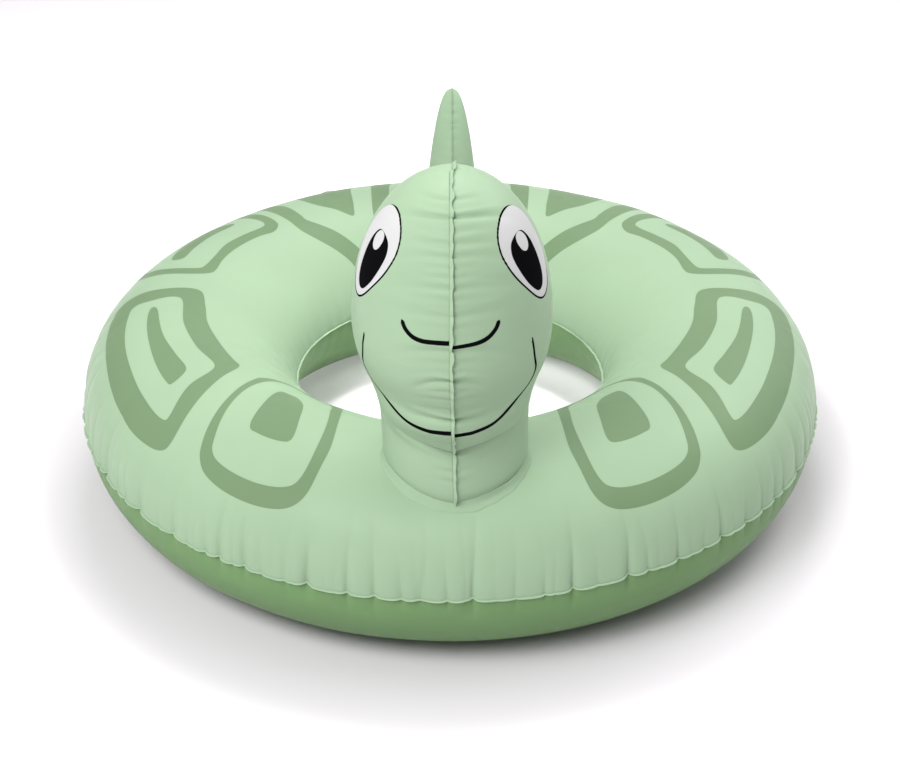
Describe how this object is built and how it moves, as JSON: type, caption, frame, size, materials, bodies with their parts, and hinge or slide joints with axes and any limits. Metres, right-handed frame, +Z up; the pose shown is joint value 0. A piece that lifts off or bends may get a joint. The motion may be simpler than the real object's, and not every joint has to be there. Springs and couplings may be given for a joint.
{
  "type": "inflatable pool float",
  "caption": "Inflatable swim ring with a raised animal head on a neck, a pointed tail and two plugged air valves.",
  "frame": {"origin": "on the floor, at the centre of the ring", "axes": "+Z up; the head is at -Y and the tail at +Y; +X is to the right for a viewer who faces the head from -Y"},
  "size_m": [0.9, 0.9, 0.5385],
  "materials": {
    "upper_vinyl": "satin",
    "lower_vinyl": "satin",
    "skin_vinyl": "satin",
    "weld_vinyl": "satin",
    "valve_vinyl": "satin"
  },
  "bodies": {
    "float": {"ring_upper_panel": "upper_vinyl", "ring_lower_panel": "lower_vinyl", "ring_outer_seam": "weld_vinyl", "ring_inner_seam": "weld_vinyl", "neck_base_flange": "weld_vinyl", "head_left_panel": "skin_vinyl", "head_right_panel": "skin_vinyl", "head_seam": "weld_vinyl", "tail_base_flange": "weld_vinyl", "tail_left_panel": "skin_vinyl", "tail_right_panel": "skin_vinyl", "tail_seam": "weld_vinyl", "ring_valve_flange": "valve_vinyl", "head_valve_flange": "valve_vinyl"},
    "ring_valve": {"ring_valve_stem": "valve_vinyl"},
    "ring_flap": {"ring_valve_flap": "valve_vinyl"},
    "ring_plug": {"ring_valve_plug": "valve_vinyl", "ring_valve_tether": "valve_vinyl"},
    "head_valve": {"head_valve_stem": "valve_vinyl"},
    "head_flap": {"head_valve_flap": "valve_vinyl"},
    "head_plug": {"head_valve_plug": "valve_vinyl", "head_valve_tether": "valve_vinyl"}
  },
  "joints": [
    {"name": "ring_valve_pull", "type": "slide", "parent": "float", "child": "ring_valve", "axis": [-0.2619, 0.5616, 0.7849], "range_m": [0, 0.01]},
    {"name": "ring_plug_open", "type": "hinge", "parent": "ring_valve", "child": "ring_plug", "pos_m": [-0.16482, 0.37634, 0.19143], "axis": [0, 0.8133, -0.5819], "range_deg": [0, 150]},
    {"name": "ring_flap_open", "type": "hinge", "parent": "ring_valve", "child": "ring_flap", "pos_m": [-0.16361, 0.3673, 0.1788], "axis": [0, -0.8133, 0.5819], "range_deg": [0, 60], "stiffness_Nm_per_rad": 0.0005},
    {"name": "head_valve_pull", "type": "slide", "parent": "float", "child": "head_valve", "axis": [-0.554, 0.8325, 0], "range_m": [0, 0.01]},
    {"name": "head_plug_open", "type": "hinge", "parent": "head_valve", "child": "head_plug", "pos_m": [-0.04567, -0.27048, 0.2463], "axis": [0.8325, 0.554, 0], "range_deg": [0, 150]},
    {"name": "head_flap_open", "type": "hinge", "parent": "head_valve", "child": "head_flap", "pos_m": [-0.03719, -0.28322, 0.2434], "axis": [-0.8325, -0.554, 0], "range_deg": [0, 60], "stiffness_Nm_per_rad": 0.0005}
  ]
}
